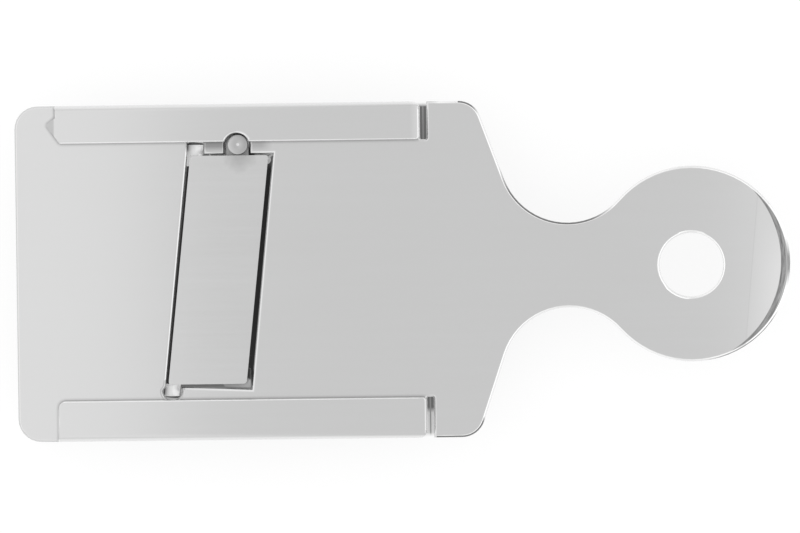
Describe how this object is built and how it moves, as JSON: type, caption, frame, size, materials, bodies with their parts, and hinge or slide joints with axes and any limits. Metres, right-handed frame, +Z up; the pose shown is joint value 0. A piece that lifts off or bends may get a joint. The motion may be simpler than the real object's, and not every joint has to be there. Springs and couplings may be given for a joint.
{
  "type": "truffle slicer",
  "caption": "Flat stainless steel truffle slicer with a slanted adjustable blade, folded guide rails, a thumb nut underneath and a ring handle.",
  "frame": {"origin": "centre of the slicer's length and width, on the level of the thumb nut's flat bottom face", "axes": "+X towards the ring handle, +Y towards the side with the adjuster, +Z up, out of the food side"},
  "size_m": [0.2082, 0.0904, 0.0218],
  "materials": {
    "satin_steel": "satin, fine grain along the length",
    "blade_steel": "fine ground, hardened",
    "turned_steel": "turned, bright",
    "spring_steel": "drawn wire",
    "washer_brass": "plain"
  },
  "bodies": {
    "frame": {"body_plate": "satin_steel", "rod_saddle_lower": "satin_steel", "rod_saddle_upper": "satin_steel", "adjuster_bracket": "satin_steel", "knob_washer": "washer_brass", "adjuster_spring": "spring_steel"},
    "blade_unit": {"blade": "blade_steel", "blade_carrier": "satin_steel", "pivot_rod": "turned_steel", "blade_screw_lower": "turned_steel", "blade_screw_middle": "turned_steel", "blade_screw_upper": "turned_steel"},
    "stud": {"adjusting_stud": "turned_steel", "stud_washer": "turned_steel"},
    "knob": {"adjusting_knob": "turned_steel"}
  },
  "joints": [
    {"name": "knob_turn", "type": "hinge", "parent": "frame", "child": "knob", "pos_m": [-0.04392, 0.03425, 0.0084], "axis": [0, 0, -1], "range_deg": [0, 1080]},
    {"name": "stud_lift", "type": "slide", "parent": "frame", "child": "stud", "axis": [0, 0, 1], "range_m": [0, 0.00151], "deforming": ["adjuster_spring"]},
    {"name": "blade_tilt", "type": "hinge", "parent": "frame", "child": "blade_unit", "pos_m": [-0.05912, 0, 0.0158], "axis": [-0.108, -0.9942, 0], "range_deg": [0, 6.1]}
  ],
  "couplings": [
    {"joint": "stud_lift", "follows": "knob_turn", "m_per_rad": 0.000079577},
    {"joint": "blade_tilt", "follows": "knob_turn", "ratio": 0.00564}
  ]
}
